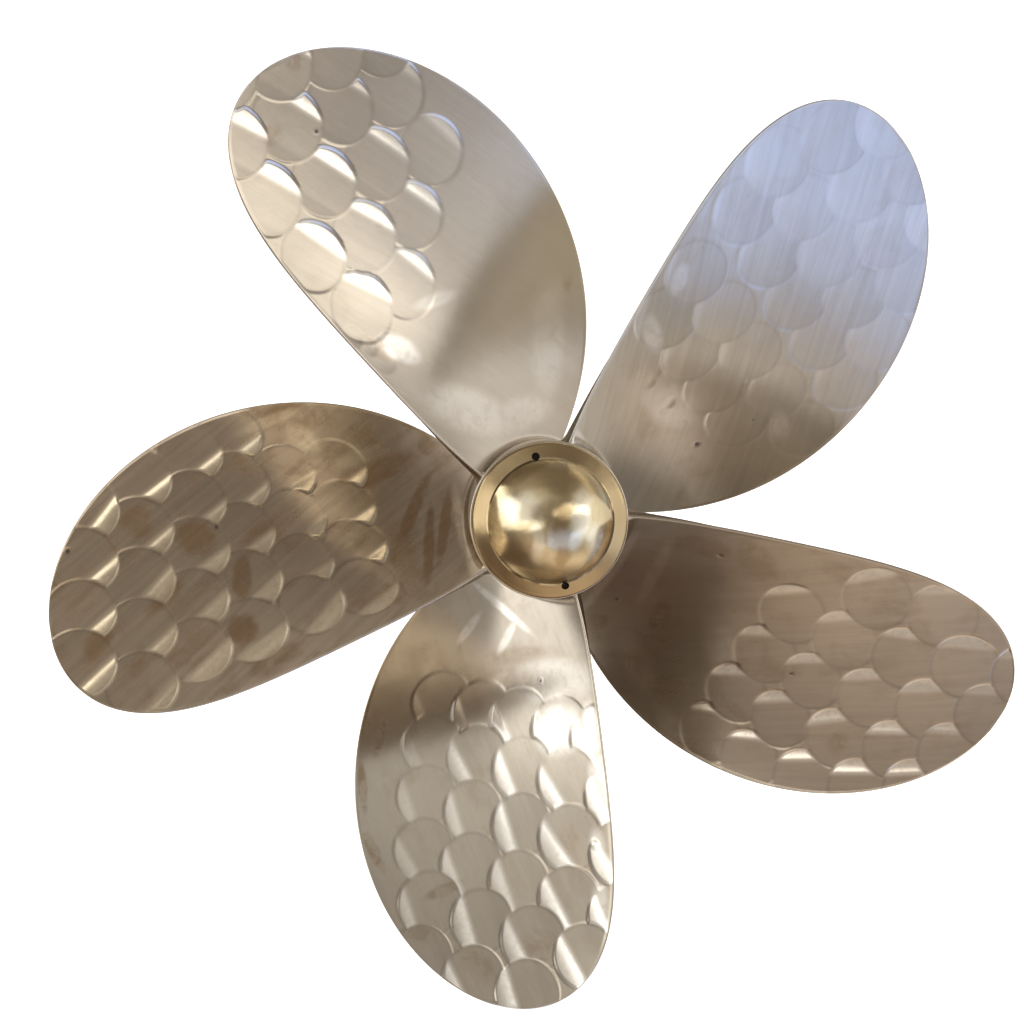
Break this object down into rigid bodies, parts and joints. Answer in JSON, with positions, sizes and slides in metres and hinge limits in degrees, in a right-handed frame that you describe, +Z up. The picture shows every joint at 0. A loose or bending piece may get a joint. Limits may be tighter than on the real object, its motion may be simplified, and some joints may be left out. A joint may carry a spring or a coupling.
{
  "type": "ship propeller",
  "caption": "Fixed-pitch bronze ship propeller, blades cast in one with a tapered-bore hub, closed by a domed cap over its shaft nut.",
  "frame": {"origin": "on the shaft's axis in the plane of the hub's flat forward face, where the shaft enters its tapered bore", "axes": "-Y runs aft along the shaft to the domed cap, +Y runs forward to the shaft, +Z up, +X to starboard seen from astern"},
  "size_m": [1.0541, 0.3325, 1.0443],
  "materials": {
    "blade_bronze": "ground nickel aluminium bronze with overlapping disc marks and brown tarnish",
    "polished_brass": "polished",
    "joint_fibre": "dark jointing sheet",
    "nut_bronze": "machined",
    "plate_steel": "machined",
    "seal_rubber": "matte"
  },
  "bodies": {
    "root": {"propeller_casting": "blade_bronze", "boss_cap": "polished_brass", "cap_joint_ring": "joint_fibre", "propeller_nut": "nut_bronze", "nut_lock_plate": "plate_steel", "forward_seal_ring": "seal_rubber"}
  },
  "joints": []
}
